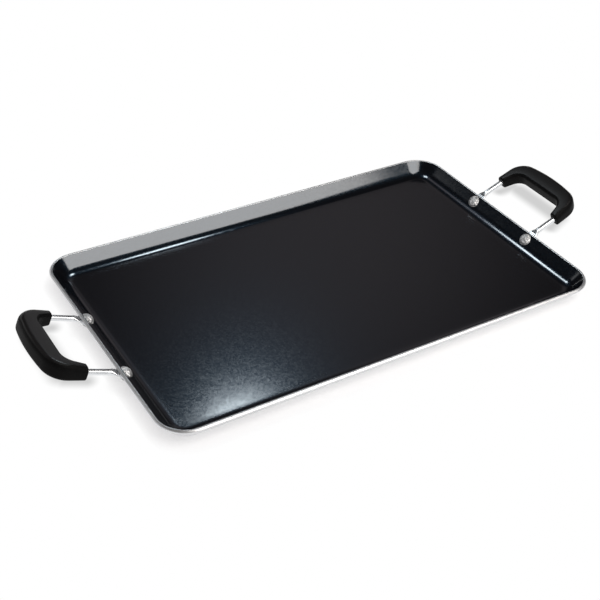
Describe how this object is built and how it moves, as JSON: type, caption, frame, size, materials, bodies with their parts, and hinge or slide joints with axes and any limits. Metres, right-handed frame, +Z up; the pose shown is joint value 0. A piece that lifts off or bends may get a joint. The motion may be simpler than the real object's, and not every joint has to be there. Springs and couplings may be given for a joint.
{
  "type": "griddle pan",
  "caption": "Shallow rectangular stovetop griddle pan with a dark non-stick inside and a riveted wire loop handle with a black moulded grip on each short side.",
  "frame": {"origin": "centre of the flat underside", "axes": "+X from handle to handle, +Y to the rear long side, +Z up"},
  "size_m": [0.585, 0.282, 0.0456],
  "materials": {
    "bare_aluminium": "satin",
    "nonstick": "satin, fine metallic speckle",
    "chromed_wire": "polished",
    "grip_plastic": "satin",
    "rivet_aluminium": "polished"
  },
  "bodies": {
    "root": {"pan_body": "bare_aluminium", "nonstick_coating": "nonstick", "handle_wire_right": "chromed_wire", "handle_wire_left": "chromed_wire", "grip_right": "grip_plastic", "grip_left": "grip_plastic", "rivet_right_front": "rivet_aluminium", "rivet_right_rear": "rivet_aluminium", "rivet_left_front": "rivet_aluminium", "rivet_left_rear": "rivet_aluminium"}
  },
  "joints": []
}
